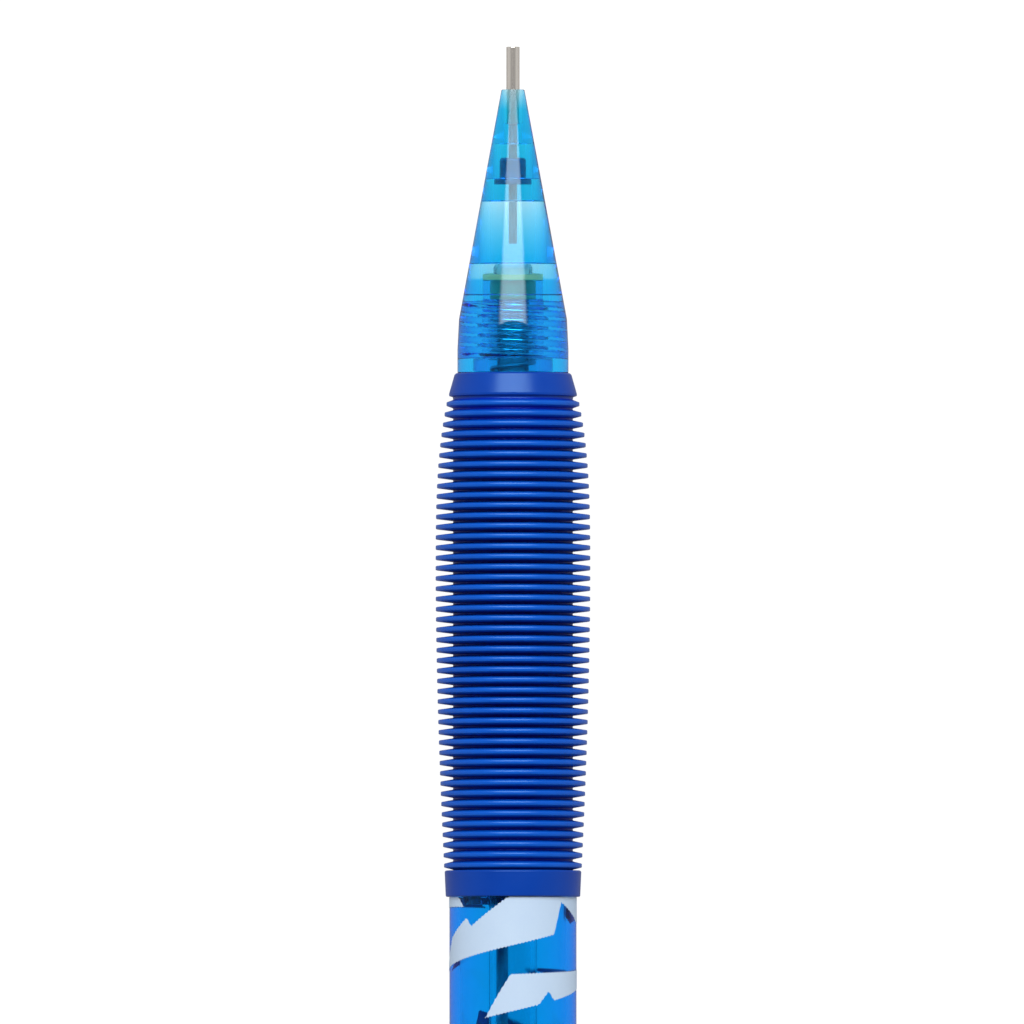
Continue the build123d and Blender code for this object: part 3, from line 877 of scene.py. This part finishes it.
def dress_cad_nodes():
    """Node materials and smooth shading for the CAD nodes that are shown as they are."""
    slots = {s["node"]: s["material_slot"] for s in frame["record"]["subparts"]}
    for name, node in NODES.items():
        node.data.materials.clear()
        node.data.materials.append(MATERIALS[slots[name]])
        node.data.shade_smooth()
        node.data.set_sharp_from_angle(angle=math.radians(30))


dress_cad_nodes()
tip_cone()
lead_sleeve()
mechanism_housing()
grip()
barrel()
barrel_print()
push_cap()
pocket_clip()
eraser()
chuck_spring()


# ---------------------------------------------------------------- studio

low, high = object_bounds()
FLOOR_Z = low.z - 0.00005
WATCHED = Vector((0.1075, 0.0, 0.0))
FRAME_WIDTH = 0.0847
TILT = math.radians(1.4)
ASIDE = Vector((0, 0.00008, 0))
FLOOR_GLOW = 0.94
FLOOR_MIRRORED = 0.2
HORIZON = 0.72
OVERHEAD = 0.15
FADE_FROM = 0.45
FADE_TO = 0.96
SKY_MIRRORED = 0.55
KEY_PLACE = (WATCHED.x + 0.48, 0, 0.80)
KEY_SIZE = (1.2, 0.54)
KEY_RADIANCE = 8.0
KEY_FADE = 0.35


def floor():
    """Pale light table under the pencil."""
    mesh = bpy.data.meshes.new("floor")
    half = 8.0
    corners = [(-half, -half), (half, -half), (half, half), (-half, half)]
    mesh.from_pydata([(x, y, FLOOR_Z) for x, y in corners], [], [(0, 1, 2, 3)])
    table = bpy.data.objects.new("floor", mesh)
    bpy.context.scene.collection.objects.link(table)
    r = Recipe("floor_white")
    cloud = r.ramp(r.noise(14, 3), 0.3, 0.7)
    r.set(Base_Color=r.blend(cloud, (0.10, 0.10, 0.10), (0.09, 0.09, 0.09)))
    r.set(Roughness=0.9, Specular_IOR_Level=0.0)
    ray = r.tree.nodes.new("ShaderNodeLightPath").outputs
    mirrored = r.math("SUBTRACT", ray["Is Glossy Ray"], ray["Is Transmission Ray"])
    glow = r.ramp(mirrored, 0.0, 1.0, FLOOR_GLOW, FLOOR_MIRRORED)
    r.set(Emission_Color=(1.0, 1.0, 1.0, 1), Emission_Strength=glow)
    mesh.materials.append(r.material)


def world():
    """Bright round the horizon, dimmer overhead, and dimmer still in mirror reflections."""
    scene_world = bpy.data.worlds.new("studio")
    bpy.context.scene.world = scene_world
    scene_world.use_nodes = True
    nodes, links = scene_world.node_tree.nodes, scene_world.node_tree.links
    where = nodes.new("ShaderNodeTexCoord").outputs["Generated"]
    split = nodes.new("ShaderNodeSeparateXYZ")
    links.new(where, split.inputs[0])
    level = nodes.new("ShaderNodeMapRange")
    links.new(split.outputs["Z"], level.inputs["Value"])
    level.inputs["From Min"].default_value = FADE_FROM
    level.inputs["From Max"].default_value = FADE_TO
    level.inputs["To Min"].default_value = HORIZON
    level.inputs["To Max"].default_value = OVERHEAD
    level.interpolation_type = "SMOOTHSTEP"
    ray = nodes.new("ShaderNodeLightPath").outputs
    mirrored = nodes.new("ShaderNodeMath")
    mirrored.operation = "SUBTRACT"
    links.new(ray["Is Glossy Ray"], mirrored.inputs[0])
    links.new(ray["Is Transmission Ray"], mirrored.inputs[1])
    share = nodes.new("ShaderNodeMapRange")
    links.new(mirrored.outputs[0], share.inputs["Value"])
    share.inputs["To Min"].default_value = 1.0
    share.inputs["To Max"].default_value = SKY_MIRRORED
    strength = nodes.new("ShaderNodeMath")
    strength.operation = "MULTIPLY"
    links.new(level.outputs[0], strength.inputs[0])
    links.new(share.outputs[0], strength.inputs[1])
    links.new(strength.outputs[0], nodes["Background"].inputs["Strength"])
    nodes["Background"].inputs["Color"].default_value = (0.97, 0.985, 1.0, 1)


def softbox(name, place_at, size, radiance, fade):
    """Rectangular lamp that faces the pencil and fades out towards its two sides."""
    data = bpy.data.lights.new(name, "AREA")
    data.shape = "RECTANGLE"
    data.size, data.size_y = size
    data.energy = radiance * math.pi * size[0] * size[1]
    lamp = bpy.data.objects.new(name, data)
    bpy.context.scene.collection.objects.link(lamp)
    lamp.location = place_at
    lamp.rotation_mode = "QUATERNION"
    lamp.rotation_quaternion = (Vector(place_at) - WATCHED).to_track_quat("Z", "Y")
    data.use_nodes = True
    nodes, links = data.node_tree.nodes, data.node_tree.links
    split = nodes.new("ShaderNodeSeparateXYZ")
    links.new(nodes.new("ShaderNodeNewGeometry").outputs["Parametric"], split.inputs[0])
    off = nodes.new("ShaderNodeMath")
    off.operation = "ABSOLUTE"
    centred = nodes.new("ShaderNodeMath")
    centred.operation = "SUBTRACT"
    links.new(split.outputs["X"], centred.inputs[0])
    centred.inputs[1].default_value = 0.5
    links.new(centred.outputs[0], off.inputs[0])
    level = nodes.new("ShaderNodeMapRange")
    level.interpolation_type = "SMOOTHSTEP"
    links.new(off.outputs[0], level.inputs["Value"])
    level.inputs["From Min"].default_value = 0.5
    level.inputs["From Max"].default_value = 0.5 * (1 - fade)
    links.new(level.outputs[0], nodes["Emission"].inputs["Strength"])


def camera():
    """Long lens above the pencil, with the tip at the top of the picture."""
    data = bpy.data.cameras.new("camera")
    data.lens = 1200
    data.sensor_width = 36
    distance = FRAME_WIDTH * data.lens / data.sensor_width
    back = Vector((-math.sin(TILT), 0, math.cos(TILT)))
    up = Vector((math.cos(TILT), 0, math.sin(TILT)))
    right = up.cross(back)
    cam = bpy.data.objects.new("camera", data)
    bpy.context.scene.collection.objects.link(cam)
    turn = Matrix((right, up, back)).transposed().to_4x4()
    cam.matrix_world = Matrix.Translation(WATCHED + back * distance + ASIDE) @ turn
    data.clip_start = 0.1
    data.clip_end = 20
    bpy.context.scene.camera = cam


floor()
world()
softbox("key", KEY_PLACE, KEY_SIZE, KEY_RADIANCE, KEY_FADE)
camera()

scene = bpy.context.scene
scene.view_settings.view_transform = "Standard"
scene.cycles.max_bounces = 32
scene.cycles.transmission_bounces = 32
scene.cycles.transparent_max_bounces = 32
scene.cycles.glossy_bounces = 12
scene.cycles.caustics_refractive = True
scene.cycles.caustics_reflective = True
scene.cycles.blur_glossy = 0.5
scene.cycles.sample_clamp_indirect = 8.0
